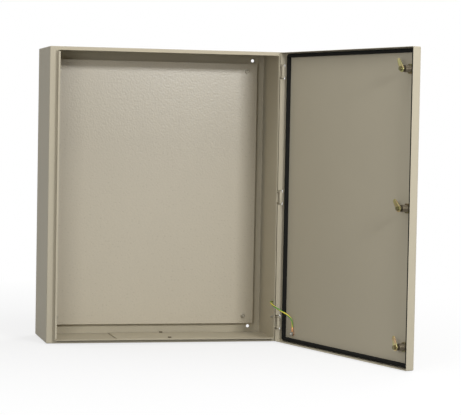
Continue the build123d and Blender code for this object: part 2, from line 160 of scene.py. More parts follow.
class CabinetStage(bpy.types.PropertyGroup):
    """Camera, lights and floor."""

    yaw: angle_prop("Yaw", "Turn of the camera to the right", 13.58)
    pitch: angle_prop("Pitch", "Tilt of the camera downwards", 2.68)
    roll: angle_prop("Roll", "Roll of the camera", 1.07)
    place: FloatVectorProperty(
        name="Camera place", description="Where the camera stands", default=(-1.001, -5.110, 0.206),
        size=3, subtype="TRANSLATION",
    )
    lens: number_prop("Lens", "Focal length in millimetres", 142.92, least=1, unit="CAMERA")
    sensor: number_prop("Sensor", "Sensor width in millimetres", 36.0, least=1, unit="CAMERA")
    key_power: number_prop("Key power", "Power of the strip light, front right", 34.0, unit="POWER")
    left_power: number_prop("Left power", "Power of the soft light, front left", 17.0, unit="POWER")
    top_power: number_prop("Top power", "Power of the soft light overhead", 16.5, unit="POWER")
    back_power: number_prop("Back power", "Power of the soft light behind", 70.0, unit="POWER")
    sky: number_prop("Sky", "Strength of the light from all round", 0.41)
    floor: colour_prop("Floor", "Colour of the plain floor", (0.88, 0.88, 0.88))
    floor_bounce: share_prop("Floor bounce", "Share of the floor's colour that lights the cabinet", 0.30)
    floor_gap: length_prop("Floor gap", "Air between the cabinet's lowest point and the floor", 0.0005)
    floor_reach: length_prop("Floor reach", "Half the width of the floor", 14.0)


# Sockets of the colour mix node, which share their names with those of its other kinds
MIX_FACTOR, MIX_FIRST, MIX_SECOND, MIX_RESULT = 0, 6, 7, 2


def plug(tree, value, place):
    """Links a signal to a socket, or sets a plain value on it."""
    if isinstance(value, Signal):
        tree.links.new(value.socket, place)
    else:
        place.default_value = value


class Signal:
    """A shader socket that takes part in sums as a number would."""

    def __init__(self, tree, socket):
        self.tree = tree
        self.socket = socket

    def sum(self, operation, first, second):
        """One step of shader maths."""
        node = self.tree.nodes.new("ShaderNodeMath")
        node.operation = operation
        plug(self.tree, first, node.inputs[0])
        plug(self.tree, second, node.inputs[1])
        return Signal(self.tree, node.outputs[0])

    def __add__(self, other):
        return self.sum("ADD", self, other)

    def __radd__(self, other):
        return self.sum("ADD", other, self)

    def __sub__(self, other):
        return self.sum("SUBTRACT", self, other)

    def __rsub__(self, other):
        return self.sum("SUBTRACT", other, self)

    def __mul__(self, other):
        return self.sum("MULTIPLY", self, other)

    def __rmul__(self, other):
        return self.sum("MULTIPLY", other, self)

    def __gt__(self, other):
        return self.sum("GREATER_THAN", self, other)


class NodeBoard:
    """A node tree to which nodes are added one at a time."""

    def __init__(self, tree):
        self.tree = tree

    def node(self, kind, settings=None, inputs=None, output=0):
        """Adds a node: its settings come first, then the values or links of its sockets."""
        node = self.tree.nodes.new("ShaderNode" + kind)
        for name, value in (settings or {}).items():
            if name == "stops":
                set_stops(node.color_ramp, value)
            else:
                setattr(node, name, value)
        for name, value in (inputs or {}).items():
            plug(self.tree, value, node.inputs[name])
        return Signal(self.tree, node.outputs[output])

    def seen(self):
        """One where the camera sees the surface, straight, in a mirror or through glass."""
        straight = self.node("LightPath", output="Is Camera Ray")
        mirrored = self.node("LightPath", output="Is Glossy Ray")
        return straight + mirrored + self.node("LightPath", output="Is Transmission Ray")


class Finish(NodeBoard):
    """A material that is put together from nodes."""

    def __init__(self, name):
        self.material = bpy.data.materials.new("cabinet_" + name)
        self.material.use_nodes = True
        super().__init__(self.material.node_tree)
        self.shader = self.tree.nodes["Principled BSDF"]
        self.place = self.node("TexCoord", output="Object")

    def noise(self, size, detail=2.0, stretch=(1, 1, 1)):
        """Soft noise with lumps of a size in metres."""
        where = self.place
        if stretch != (1, 1, 1):
            where = self.node("Mapping", inputs={"Vector": self.place, "Scale": stretch})
        return self.node("TexNoise", inputs={"Vector": where, "Scale": 1 / size, "Detail": detail})

    def ramp(self, factor, *stops):
        """A value or colour that follows a factor through stops."""
        return self.node("ValToRGB", {"stops": stops}, {"Fac": factor})

    def mix(self, factor, first, second, blend="MIX"):
        """Two colours mixed by a factor."""
        sockets = {MIX_FACTOR: factor, MIX_FIRST: opaque(first), MIX_SECOND: opaque(second)}
        return self.node("Mix", {"data_type": "RGBA", "blend_type": blend}, sockets, output=MIX_RESULT)

    def bump(self, height, depth):
        """A normal that stands up by a depth in metres where the height is one."""
        return self.node("Bump", inputs={"Height": height, "Distance": depth, "Strength": 1.0})

    def finish(self, **inputs):
        """Sets the surface's own sockets and hands the material over."""
        for name, value in inputs.items():
            socket = name.replace("_", " ").title().replace("Ior", "IOR")
            plug(self.tree, value, self.shader.inputs[socket])
        return self.material


def opaque(colour):
    """A plain colour with its alpha; a signal stays as it is."""
    return colour if isinstance(colour, Signal) else (*colour, 1.0)


def set_stops(ramp, stops):
    """Writes position and colour pairs on a ramp."""
    while len(ramp.elements) < len(stops):
        ramp.elements.new(1.0)
    for element, (position, shade) in zip(ramp.elements, stops):
        element.position = position
        element.color = opaque(shade if isinstance(shade, tuple) else (shade,) * 3)


def darker(colour, share):
    """A colour brought down to a share of itself."""
    return tuple(channel * share for channel in colour)


def tinted(colour, shares):
    """A colour with each channel brought to a share of its own."""
    return tuple(channel * share for channel, share in zip(colour, shares))


# Powder coat: its peel, the finer grain on it and the broad clouds of its tone
PEEL_DETAIL, PEEL_SHARE = 0.6, 0.9
GRAIN_DETAIL, GRAIN_SHARE = 0.5, 0.1
GRAINS_PER_PEEL = 3
PEEL_LOW, PEEL_HIGH = 0.32, 0.68
PEEL_DULLING = 0.16
CLOUD_SIZE, CLOUD_DETAIL = 0.22, 3.0
CLOUD_DARK_SHARE, CLOUD_LIGHT_SHARE = 0.965, 1.03
BODY_MOTTLE, DOOR_MOTTLE, PLATE_MOTTLE = 0.04, 0.02, 0.03
COAT_DULLNESS, COAT_SHEEN = 0.50, 0.22
PLATE_DULLNESS, PLATE_SHEEN = 0.23, 0.65


def powder_coat(name, colour, size, depth, mottle_share, dullness, sheen):
    """Textured powder coat: fine orange peel, faint mottling and a dull sheen."""
    coat = Finish(name)
    peel = coat.noise(size, PEEL_DETAIL)
    grain = coat.noise(size / GRAINS_PER_PEEL, GRAIN_DETAIL)
    cloud = coat.noise(CLOUD_SIZE, CLOUD_DETAIL)
    tone = coat.ramp(peel, (PEEL_LOW, 1 - mottle_share), (PEEL_HIGH, 1.0))
    shade = coat.mix(cloud, darker(colour, CLOUD_DARK_SHARE), darker(colour, CLOUD_LIGHT_SHARE))
    return coat.finish(
        base_color=coat.mix(1.0, shade, tone, blend="MULTIPLY"),
        roughness=dullness + peel * PEEL_DULLING,
        specular_ior_level=sheen,
        normal=coat.bump(peel * PEEL_SHARE + grain * GRAIN_SHARE, depth),
    )


# Plated steel: patches of gloss and a drawn grain, bright or dull
PLATING_PATCH_SIZE, PLATING_PATCH_DETAIL = 0.006, 4.0
PLATING_DARK_SHARE = 0.82
PLATING_DULLING = 0.22
PLATING_GRAIN_DETAIL, PLATING_GRAIN_STRETCH = 2.0, (1, 1, 0.12)
BRIGHT_GRAIN_SIZE, BRIGHT_DULLNESS = 0.0006, 0.28
DULL_GRAIN_SIZE, DULL_DULLNESS = 0.0009, 0.42
FINE_BUMP = 0.00003


def zinc_plate(name, colour, grain_size, dullness):
    """Plated steel: metal with patchy gloss and faint drawn grain."""
    plating = Finish(name)
    patch = plating.noise(PLATING_PATCH_SIZE, PLATING_PATCH_DETAIL)
    grain = plating.noise(grain_size, PLATING_GRAIN_DETAIL, PLATING_GRAIN_STRETCH)
    return plating.finish(
        base_color=plating.mix(patch, darker(colour, PLATING_DARK_SHARE), colour),
        metallic=1.0,
        roughness=dullness + patch * PLATING_DULLING,
        normal=plating.bump(grain, FINE_BUMP),
    )


# Yellow passivation: drifts of pink and green over gold, and fine scuffs
DRIFT_SIZE, DRIFT_DETAIL = 0.012, 3.0
ROSE_SHARES, LEAF_SHARES = (1.06, 0.80, 0.95), (0.86, 1.06, 0.90)
ROSE_STOP, GOLD_STOP, LEAF_STOP = 0.30, 0.50, 0.72
SCUFF_SIZE, SCUFF_DETAIL = 0.0012, 2.0
GOLD_METAL, GOLD_DULLNESS, GOLD_DULLING = 0.85, 0.28, 0.18
# Painted shade: the lock nuts and cam screws take the yellow zinc brought down to this share, for the shade
# they sit in
LOCK_SHADE_SHARE = 0.42


def yellow_passivate(name, colour):
    """Yellow-passivated zinc: gold with drifts of pink and green."""
    plating = Finish(name)
    drift = plating.noise(DRIFT_SIZE, DRIFT_DETAIL)
    rose = tinted(colour, ROSE_SHARES)
    leaf = tinted(colour, LEAF_SHARES)
    scuff = plating.noise(SCUFF_SIZE, SCUFF_DETAIL)
    return plating.finish(
        base_color=plating.ramp(drift, (ROSE_STOP, rose), (GOLD_STOP, tuple(colour)), (LEAF_STOP, leaf)),
        metallic=GOLD_METAL,
        roughness=GOLD_DULLNESS + scuff * GOLD_DULLING,
        normal=plating.bump(scuff, FINE_BUMP),
    )


# Die-cast metal: tumbled grain and patches of tone
CAST_GRAIN_SIZE, CAST_PATCH_SIZE, CAST_DETAIL = 0.0007, 0.009, 3.0
CAST_DARK_SHARE = 0.80
CAST_METAL, CAST_DULLNESS, CAST_DULLING = 0.9, 0.34, 0.20
CAST_BUMP = 0.00004


def die_cast_metal(name, colour):
    """Satin die-cast zinc with a fine tumbled grain."""
    cast = Finish(name)
    grain = cast.noise(CAST_GRAIN_SIZE, CAST_DETAIL)
    patch = cast.noise(CAST_PATCH_SIZE, CAST_DETAIL)
    return cast.finish(
        base_color=cast.mix(patch, darker(colour, CAST_DARK_SHARE), colour),
        metallic=CAST_METAL,
        roughness=CAST_DULLNESS + grain * CAST_DULLING,
        normal=cast.bump(grain, CAST_BUMP),
    )


# Foam: pores in a skin of uneven tone
PORE_SIZE, PORE_LOW, PORE_HIGH, PORE_DEPTH = 0.0014, 0.05, 0.45, 0.00018
SKIN_SIZE, SKIN_DETAIL = 0.02, 3.0
SKIN_DARK_SHARE, SKIN_LIGHT_SHARE = 0.75, 1.4
FOAM_DULLNESS, FOAM_DULLING, FOAM_SHEEN = 0.78, 0.2, 0.12


def gasket_foam(name, colour):
    """Foamed sealing strip: matt skin with small pores."""
    foam = Finish(name)
    pores = foam.node("TexVoronoi", inputs={"Vector": foam.place, "Scale": 1 / PORE_SIZE})
    skin = foam.noise(SKIN_SIZE, SKIN_DETAIL)
    pit = foam.ramp(pores, (PORE_LOW, 0.0), (PORE_HIGH, 1.0))
    return foam.finish(
        base_color=foam.mix(skin, darker(colour, SKIN_DARK_SHARE), darker(colour, SKIN_LIGHT_SHARE)),
        roughness=FOAM_DULLNESS + skin * FOAM_DULLING,
        specular_ior_level=FOAM_SHEEN,
        normal=foam.bump(pit, PORE_DEPTH),
    )


# Insulation: where the stripes end, and the wear of both colours
STRIPE_EDGE = 0.15
WEAR_SIZE, WEAR_DETAIL, WEAR_BUMP = 0.004, 3.0, 0.00005
WORN_GREEN_SHARE, WORN_YELLOW_SHARE = 0.75, 0.85
SLEEVE_DULLNESS, SLEEVE_DULLING = 0.38, 0.15


def striped_insulation(name, green, yellow):
    """Green insulation with yellow stripes that wind slowly along the wire."""
    sleeve = Finish(name)
    around = sleeve.node("Attribute", {"attribute_name": "around"}, output="Vector")
    across, along = [sleeve.node("SeparateXYZ", inputs={"Vector": around}, output=axis) for axis in "XY"]
    stripe = across * across - along * along > STRIPE_EDGE
    wear = sleeve.noise(WEAR_SIZE, WEAR_DETAIL)
    worn_green = sleeve.mix(wear, darker(green, WORN_GREEN_SHARE), green)
    worn_yellow = sleeve.mix(wear, darker(yellow, WORN_YELLOW_SHARE), yellow)
    return sleeve.finish(
        base_color=sleeve.mix(stripe, worn_green, worn_yellow),
        roughness=SLEEVE_DULLNESS + wear * SLEEVE_DULLING,
        normal=sleeve.bump(wear, WEAR_BUMP),
    )


# Copper: tarnish over bare metal
TARNISH_SIZE, TARNISH_DETAIL, TARNISH_BUMP = 0.005, 4.0, 0.00004
TARNISH_SHARE = 0.62
COPPER_METAL, COPPER_DULLNESS, COPPER_DULLING = 0.9, 0.26, 0.25


def bare_copper(name, colour):
    """Bare copper with darker tarnish."""
    copper = Finish(name)
    tarnish = copper.noise(TARNISH_SIZE, TARNISH_DETAIL)
    return copper.finish(
        base_color=copper.mix(tarnish, darker(colour, TARNISH_SHARE), colour),
        metallic=COPPER_METAL,
        roughness=COPPER_DULLNESS + tarnish * COPPER_DULLING,
        normal=copper.bump(tarnish, TARNISH_BUMP),
    )


def finish_named(name):
    """The finish of that name, made once."""
    if name in MADE_FINISHES:
        return MADE_FINISHES[name]
    look = bpy.context.scene.cabinet_finishes
    fine_peel = (look.peel_size, look.peel_depth)
    coarse_peel = (look.plate_peel_size, look.plate_peel_depth)
    # A copy of the yellow zinc darkened as painted shade, for the lock nuts and cam screws
    shaded_lock_yellow = darker(look.yellow_zinc, LOCK_SHADE_SHARE)
    makers = {
        "body_coat": (powder_coat, tuple(look.coat), *fine_peel, BODY_MOTTLE, COAT_DULLNESS, COAT_SHEEN),
        "door_coat": (powder_coat, tuple(look.coat), *fine_peel, DOOR_MOTTLE, COAT_DULLNESS, COAT_SHEEN),
        "plate_coat": (
            powder_coat, tuple(look.plate), *coarse_peel, PLATE_MOTTLE, PLATE_DULLNESS, PLATE_SHEEN
        ),
        "zinc_plate": (zinc_plate, tuple(look.zinc), BRIGHT_GRAIN_SIZE, BRIGHT_DULLNESS),
        "dull_zinc": (zinc_plate, tuple(look.dull_zinc), DULL_GRAIN_SIZE, DULL_DULLNESS),
        "lock_zinc": (yellow_passivate, shaded_lock_yellow),
        "yellow_zinc": (yellow_passivate, tuple(look.yellow_zinc)),
        "die_cast": (die_cast_metal, tuple(look.die_cast)),
        "gasket_foam": (gasket_foam, tuple(look.foam)),
        "pale_foam": (gasket_foam, tuple(look.pale_foam)),
        "insulation": (striped_insulation, tuple(look.green), tuple(look.yellow)),
        "copper": (bare_copper, tuple(look.copper)),
    }
    maker, *values = makers[name]
    MADE_FINISHES[name] = maker(name, *values)
    return MADE_FINISHES[name]


def dress(node, finish):
    """Gives a CAD node its finish."""
    for slot in frame["nodes"][node].material_slots:
        slot.material = finish_named(finish)


def body_of_node(node):
    """The body that carries a CAD node."""
    bodies = frame["record"]["behaviour"]["bodies"]
    return next(body for body, nodes in bodies.items() if node in nodes)


# Tolerances of the shapes, in metres
MERGE_DISTANCE = 1e-6
CUT_DISTANCE = 1e-7
LEVEL_DISTANCE = 1e-5
LEVEL_DIGITS = 6

# Two faces that meet at less than this angle count as one
FLAT_ANGLE = math.radians(0.5)

# Shares of the fasteners' own sizes
SHOULDER_SHARE = 1.05
RIM_SHARE = 0.25
CROWN_SHARE = 0.97
LEAD_SHARE = 0.1

SIXTH_TURN = math.pi / 3
HALF_SIXTH = math.pi / 6


def new_piece(name, bm, finish, sharp=30):
    """Turns a bmesh into an object with smooth faces and sharp creases."""
    mesh = bpy.data.meshes.new(name)
    bm.to_mesh(mesh)
    bm.free()
    mesh.shade_smooth()
    mesh.set_sharp_from_angle(angle=math.radians(sharp))
    mesh.materials.append(finish_named(finish))
    piece = bpy.data.objects.new(name, mesh)
    bpy.context.scene.collection.objects.link(piece)
    return piece


def stand_for(piece, node):
    """The piece rides on the CAD node's body and shows in place of the node, which is hidden."""
    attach(piece, body_of_node(node))
    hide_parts(node)


def merged_copy(node):
    """A CAD node's shape as clean faces."""
    bm = bmesh.new()
    bm.from_mesh(frame["nodes"][node].data)
    bmesh.ops.remove_doubles(bm, verts=bm.verts, dist=MERGE_DISTANCE)
    bmesh.ops.dissolve_limit(bm, angle_limit=FLAT_ANGLE, verts=bm.verts, edges=bm.edges)
    return bm


def break_edges(bm, width, sharp=40, segments=2):
    """Rounds the edges where two faces meet at a sharp angle."""
    limit = math.radians(sharp)
    edges = [edge for edge in bm.edges if edge.is_manifold and edge.calc_face_angle(0) > limit]
    bmesh.ops.bevel(
        bm, geom=edges, offset=width, offset_type="OFFSET", segments=segments, profile=0.5,
        affect="EDGES", clamp_overlap=True, material=-1,
    )


def softened(node, finish, width):
    """A CAD node with its edges broken, as a piece that stands for it."""
    bm = merged_copy(node)
    break_edges(bm, width)
    stand_for(new_piece(node + "_made", bm, finish), node)


def door_inward():
    """Direction from the door's skin into the cabinet's side of it, along the locks."""
    joints = frame["record"]["behaviour"]["joints"]
    return Vector(next(joint["axis"] for joint in joints if joint["child"].endswith("_lock")))


def axis_of(node):
    """Direction in which a fastener stands up from what carries it."""
    if node.startswith("plate_"):
        return Vector((0, -1, 0))
    if node.startswith("body_"):
        return Vector((-1, 0, 0))
    return door_inward()


def islands(node):
    """The separate solids of a CAD node, each as its corner points, always in the same order."""
    bm = merged_copy(node)
    unread = set(bm.verts)
    solids = []
    while unread:
        waiting = [unread.pop()]
        points = []
        while waiting:
            vertex = waiting.pop()
            points.append(vertex.co.copy())
            fresh = [edge.other_vert(vertex) for edge in vertex.link_edges]
            fresh = [other for other in fresh if other in unread]
            unread.difference_update(fresh)
            waiting.extend(fresh)
        solids.append(sorted(points, key=tuple))
    bm.free()
    return sorted(solids, key=lambda points: tuple(points[0]))


class Turned:
    """Sizes of a fastener, read from the corner points of its CAD solid."""

    def __init__(self, points, axis):
        centre = sum(points, Vector()) / len(points)
        heights = [(point - centre).dot(axis) for point in points]
        base = min(heights)
        self.rims = []
        widest = 0.0
        for point, height in zip(points, heights):
            arm = point - centre - axis * height
            self.rims.append((round(height - base, LEVEL_DIGITS), arm.length))
            if arm.length > widest:
                widest = arm.length
                corner = arm.normalized()
        self.levels = sorted({height for height, radius in self.rims})
        self.height = self.levels[-1]
        self.bore = min(radius for height, radius in self.rims)
        self.corner_radius = widest
        self.tip_radius = self.radius_at(self.height)
        wider = [height for height, radius in self.rims if radius > self.tip_radius * SHOULDER_SHARE]
        self.shoulder = max(wider, default=0.0)
        turn = Matrix((corner, axis.cross(corner), axis)).transposed().to_4x4()
        self.place = Matrix.Translation(centre + axis * base) @ turn

    def radius_at(self, level):
        """Largest radius at one level."""
        return max(radius for height, radius in self.rims if abs(height - level) < LEVEL_DISTANCE)


def place_in(bm, part, matrix):
    """Adds a part to a piece at its place."""
    bmesh.ops.transform(part, matrix=matrix, verts=part.verts)
    bmesh.ops.recalc_face_normals(part, faces=part.faces)
    mesh = bpy.data.meshes.new("part")
    part.to_mesh(mesh)
    part.free()
    bm.from_mesh(mesh)
    bpy.data.meshes.remove(mesh)


def shape_ring(verts, ring):
    """Moves a ring's points to the radius and height that its rule gives for their angle."""
    for vertex in verts:
        angle = math.atan2(vertex.co.y, vertex.co.x)
        radius, height = ring(angle) if callable(ring) else ring
        vertex.co = (radius * math.cos(angle), radius * math.sin(angle), height)


def grow_rim(bm, edges):
    """Extrudes a rim where it stands, and hands over its new points and edges."""
    grown = bmesh.ops.extrude_edge_only(bm, edges=edges)["geom"]
    points = [part for part in grown if isinstance(part, bmesh.types.BMVert)]
    return points, [part for part in grown if isinstance(part, bmesh.types.BMEdge)]


def ring_stack(rings, sides=48, bored=False):
    """A skin through rings; a bored one ends where it starts, and a solid one is capped."""
    bm = bmesh.new()
    verts = bmesh.ops.create_circle(bm, cap_ends=False, segments=sides, radius=1.0)["verts"]
    first = edges = list(bm.edges)
    shape_ring(verts, rings[0])
    for ring in rings[1:]:
        verts, edges = grow_rim(bm, edges)
        shape_ring(verts, ring)
    if bored:
        bmesh.ops.remove_doubles(bm, verts=bm.verts, dist=CUT_DISTANCE)
    else:
        for rim in (first, edges):
            bmesh.ops.contextual_create(bm, geom=rim)
    return bm


def collar(radius, height, round_edge, bore=None):
    """A disc with a rounded lower rim and a broken upper one, bored or solid."""
    third = round_edge * (1 - math.sqrt(0.5))
    upper = min(round_edge, height * RIM_SHARE)
    rings = [
        (radius - round_edge, 0), (radius - third, third), (radius, round_edge),
        (radius, height - upper), (radius - upper, height),
    ]
    if bore:
        rings = [(bore, 0), *rings, (bore, height), (bore, 0)]
    return ring_stack(rings, bored=bool(bore))


def hexagon(half_flats, height, bore=None):
    """A hexagon with turned chamfers, bored as a nut or solid as a screw's head."""
    crown = CROWN_SHARE * half_flats

    def side(angle):
        return half_flats / math.cos(angle % SIXTH_TURN - HALF_SIXTH)

    def drop(angle):
        return (side(angle) - crown) * math.tan(HALF_SIXTH)

    rings = [
        (crown, 0), lambda angle: (side(angle), drop(angle)),
        lambda angle: (side(angle), height - drop(angle)), (crown, height),
    ]
    if bore:
        lead = LEAD_SHARE * bore
        rings = [
            (bore, lead), (bore + lead, 0), *rings,
            (bore + lead, height), (bore, height - lead), (bore, lead),
        ]
    return ring_stack(rings, bored=bool(bore))


def thread(radius, length, pitch, depth, bore=None, sides=28):
    """A screw thread with square-cut ends, solid or on a tube."""
    bm = bmesh.new()
    root = radius - depth
    steps = sides * (math.ceil(length / pitch) + 2)
    profile = ((root, -pitch), (radius, -pitch / 2), (root, 0))
    verts = [bm.verts.new((reach, 0, height)) for reach, height in profile]
    edges = [bm.edges.new(pair) for pair in zip(verts, verts[1:])]
    bmesh.ops.spin(
        bm, geom=verts + edges, cent=(0, 0, 0), axis=(0, 0, 1), dvec=(0, 0, pitch / sides),
        angle=steps / sides * 2 * math.pi, steps=steps, use_merge=False, use_duplicate=False,
    )
    bmesh.ops.remove_doubles(bm, verts=bm.verts, dist=MERGE_DISTANCE)
    for height, outward in ((0, -1), (length, 1)):
        geometry = [*bm.verts, *bm.edges, *bm.faces]
        bmesh.ops.bisect_plane(
            bm, geom=geometry, dist=CUT_DISTANCE, plane_co=(0, 0, height), plane_no=(0, 0, outward),
            clear_outer=True,
        )
    rims = [edge for edge in bm.edges if edge.is_boundary]
    if not bore:
        bmesh.ops.holes_fill(bm, edges=rims, sides=0)
        return bm
    low = [edge for edge in rims if edge.verts[0].co.z < length / 2]
    high = [edge for edge in rims if edge.verts[0].co.z > length / 2]
    ring = bmesh.ops.create_circle(bm, cap_ends=False, segments=sides, radius=bore)["verts"]
    low_bore = list(dict.fromkeys(edge for vertex in ring for edge in vertex.link_edges))
    high_ring, high_bore = grow_rim(bm, low_bore)
    bmesh.ops.translate(bm, verts=high_ring, vec=(0, 0, length))
    bmesh.ops.bridge_loops(bm, edges=low + low_bore)
    bmesh.ops.bridge_loops(bm, edges=high + high_bore)
    return bm


def threaded_stud(node, finish, pitch, depth, round_edge, tube=False):
    """Studs or barrels of a CAD node with a collar at the foot and a thread above it."""
    bm = bmesh.new()
    for points in islands(node):
        size = Turned(points, axis_of(node))
        bore = size.bore if tube else None
        foot = collar(size.radius_at(size.shoulder), size.shoulder, round_edge, bore)
        place_in(bm, foot, size.place)
        shank = thread(size.tip_radius, size.height - size.shoulder, pitch, depth, bore)
        place_in(bm, shank, size.place @ Matrix.Translation((0, 0, size.shoulder)))
    stand_for(new_piece(node + "_made", bm, finish), node)


def chamfered_nut(node, finish):
    """Nuts of a CAD node with turned chamfers and countersunk bores."""
    bm = bmesh.new()
    for points in islands(node):
        size = Turned(points, axis_of(node))
        half_flats = size.corner_radius * math.cos(HALF_SIXTH)
        place_in(bm, hexagon(half_flats, size.height, size.bore), size.place)
    stand_for(new_piece(node + "_made", bm, finish), node)


def hexagon_screw(node, finish, edge):
    """A hexagon screw of a CAD node: shank, washer face and chamfered head."""
    bm = bmesh.new()
    size = Turned(islands(node)[0], axis_of(node))
    foot, face, seat, top = size.levels
    washer_radius = size.radius_at(seat)
    shank_radius = size.radius_at(foot)
    place_in(bm, collar(shank_radius, face - foot, edge), size.place)
    place_in(bm, collar(washer_radius, seat - face, edge), size.place @ Matrix.Translation((0, 0, face)))
    half_flats = size.tip_radius * math.cos(HALF_SIXTH)
    place_in(bm, hexagon(half_flats, top - seat), size.place @ Matrix.Translation((0, 0, seat)))
    stand_for(new_piece(node + "_made", bm, finish), node)


def wire_line(resolution=10, order=3):
    """Points along the smooth line of the bonding wire."""
    curve = bpy.data.curves.new("wire_line", "CURVE")
    curve.dimensions = "3D"
    spline = curve.splines.new("NURBS")
    spline.points.add(len(WIRE_ROUTE) - 1)
    for point, place in zip(spline.points, WIRE_ROUTE):
        point.co = (*place, 1.0)
    spline.order_u = order
    spline.use_endpoint_u = True
    spline.resolution_u = resolution
    line = bpy.data.objects.new("wire_line", curve)
    bpy.context.scene.collection.objects.link(line)
    bpy.context.view_layer.update()
    mesh = bpy.data.meshes.new_from_object(line)
    points = [vertex.co.copy() for vertex in mesh.vertices]
    bpy.data.objects.remove(line)
    bpy.data.meshes.remove(mesh)
    bpy.data.curves.remove(curve)
    return points


def wire_tube(points, radius, sides, twist):
    """A round sleeve along the points; its vertices know how far round the sleeve they are."""
    bm = bmesh.new()
    around = bm.verts.layers.float_vector.new("around")
    ring = bmesh.ops.create_circle(bm, cap_ends=False, segments=sides, radius=radius)["verts"]
    for vertex in ring:
        vertex[around] = vertex.co.normalized()
    heading = (points[1] - points[0]).normalized()
    lean = Vector((0, 0, 1)).rotation_difference(heading).to_matrix()
    bmesh.ops.rotate(bm, verts=ring, cent=(0, 0, 0), matrix=lean)
    bmesh.ops.translate(bm, verts=ring, vec=points[0])
    edges = list(bm.edges)
    ends = [edges]
    for here, there, beyond in zip(points, points[1:], points[2:] + [None]):
        ring, edges = grow_rim(bm, edges)
        bmesh.ops.translate(bm, verts=ring, vec=there - here)
        turned = ((beyond or there + heading) - here).normalized()
        bend = heading.rotation_difference(turned).to_matrix()
        bmesh.ops.rotate(bm, verts=ring, cent=there, matrix=bend)
        heading = turned
        winding = Matrix.Rotation(2 * math.pi * twist * (there - here).length, 3, "Z")
        for vertex in ring:
            vertex[around] = winding @ vertex[around]
    ends.append(edges)
    for end in ends:
        bmesh.ops.contextual_create(bm, geom=[edge for edge in end if edge.is_valid and edge.is_boundary])
    bmesh.ops.recalc_face_normals(bm, faces=bm.faces)
    return bm


class CABINET_OT_bonding_wire(bpy.types.Operator):
    """Lays the green and yellow bonding wire from the body to the door"""

    bl_idname = "cabinet.bonding_wire"
    bl_label = "Bonding wire"

    def execute(self, context):
        sizes = context.scene.cabinet_hardware
        points = wire_line()
        bm = wire_tube(points, sizes.wire_radius, sizes.wire_sides, sizes.wire_twist)
        wire = new_piece("bonding_wire_sleeve", bm, "insulation", sharp=50)
        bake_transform(wire)
        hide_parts("bonding_wire")
        return {"FINISHED"}


class CABINET_OT_sheet_metal(bpy.types.Operator):
    """Coats the body, the door, the mounting plate and the gland plate, and finishes the gaskets"""

    bl_idname = "cabinet.sheet_metal"
    bl_label = "Sheet metal and gaskets"

    def execute(self, context):
        finishes = {
            "body_shell": "body_coat",
            "top_frame": "body_coat",
            "bottom_frame": "body_coat",
            "lock_side_frame": "body_coat",
            "hinge_side_frame": "body_coat",
            "gland_plate": "body_coat",
            "door_panel": "door_coat",
            "mounting_plate": "plate_coat",
            "door_gasket": "gasket_foam",
            "gland_plate_gasket": "pale_foam",
        }
        for node, finish in finishes.items():
            dress(node, finish)
        return {"FINISHED"}


class CABINET_OT_plate_hardware(bpy.types.Operator):
    """Makes the plate's threaded studs, washers and nuts, and the gland plate's screws"""

    bl_idname = "cabinet.plate_hardware"
    bl_label = "Plate studs, washers and nuts"

    def execute(self, context):
        sizes = context.scene.cabinet_hardware
        threaded_stud("plate_studs", "dull_zinc", sizes.thread_pitch, sizes.thread_depth, sizes.edge)
        softened("plate_washers", "dull_zinc", sizes.edge)
        chamfered_nut("plate_nuts", "dull_zinc")
        softened("gland_plate_screws", "die_cast", sizes.pan_edge)
        return {"FINISHED"}


class CABINET_OT_earth_hardware(bpy.types.Operator):
    """Finishes the earth studs, their nuts and the ring lugs"""

    bl_idname = "cabinet.earth_hardware"
    bl_label = "Earth studs and lugs"

    def execute(self, context):
        sizes = context.scene.cabinet_hardware
        for holder in ("body", "door"):
            stud = f"{holder}_earth_stud"
            threaded_stud(stud, "zinc_plate", sizes.thread_pitch, sizes.thread_depth, sizes.edge)
            chamfered_nut(f"{holder}_earth_nut", "zinc_plate")
            softened(f"{holder}_earth_lug", "copper", sizes.lug_edge)
        return {"FINISHED"}


class CABINET_OT_hinges(bpy.types.Operator):
    """Finishes the concealed hinges"""

    bl_idname = "cabinet.hinges"
    bl_label = "Hinges"

    def execute(self, context):
        edge = context.scene.cabinet_hardware.edge
        for level in LEVELS:
            softened(f"{level}_hinge_bracket", "body_coat", edge)
            softened(f"{level}_hinge_pin", "zinc_plate", edge)
            softened(f"{level}_door_knuckle", "door_coat", edge)
        return {"FINISHED"}


class CABINET_OT_locks(bpy.types.Operator):
    """Finishes the cam locks and their tongues"""

    bl_idname = "cabinet.locks"
    bl_label = "Cam locks"

    def execute(self, context):
        sizes = context.scene.cabinet_hardware
        for level in LEVELS:
            housing = f"{level}_lock_housing"
            threaded_stud(
                # The lock barrels and cores take the die-cast colour, darkened in part as painted shade
                housing, "die_cast", sizes.barrel_pitch, sizes.barrel_depth, sizes.head_edge, tube=True
            )
            # The nuts and cam screws take the darkened copy of the yellow zinc, a painted shade
            chamfered_nut(f"{level}_lock_nut", "lock_zinc")
            softened(f"{level}_lock_core", "die_cast", sizes.edge)
            softened(f"{level}_lock_cam", "yellow_zinc", sizes.stamped_edge)
            hexagon_screw(f"{level}_cam_screw", "lock_zinc", sizes.edge)
        return {"FINISHED"}


# The floor fades to white along this distance, by these stops
FADE_REACH = 4.0
FADE_STOPS = ((0.12, 0.70), (0.45, 1.0))
FLOOR_DULLNESS = 0.9

WHITE = (1.0, 1.0, 1.0, 1.0)
FAR_CLIP = 100.0

# Where the lights point, and the place, width and height of each
LIGHT_AIM = (0.05, -0.25, 0.0)
LIGHTS = {
    "key": ((0.75, -2.92, 0.88), 0.58, 0.17),
    "left": ((-1.22, -2.97, 0.45), 0.7, 0.6),
    "top": ((0.0, -1.4, 2.4), 1.6, 1.0),
    "back": ((2.4, 2.6, 1.5), 2.0, 1.6),
}


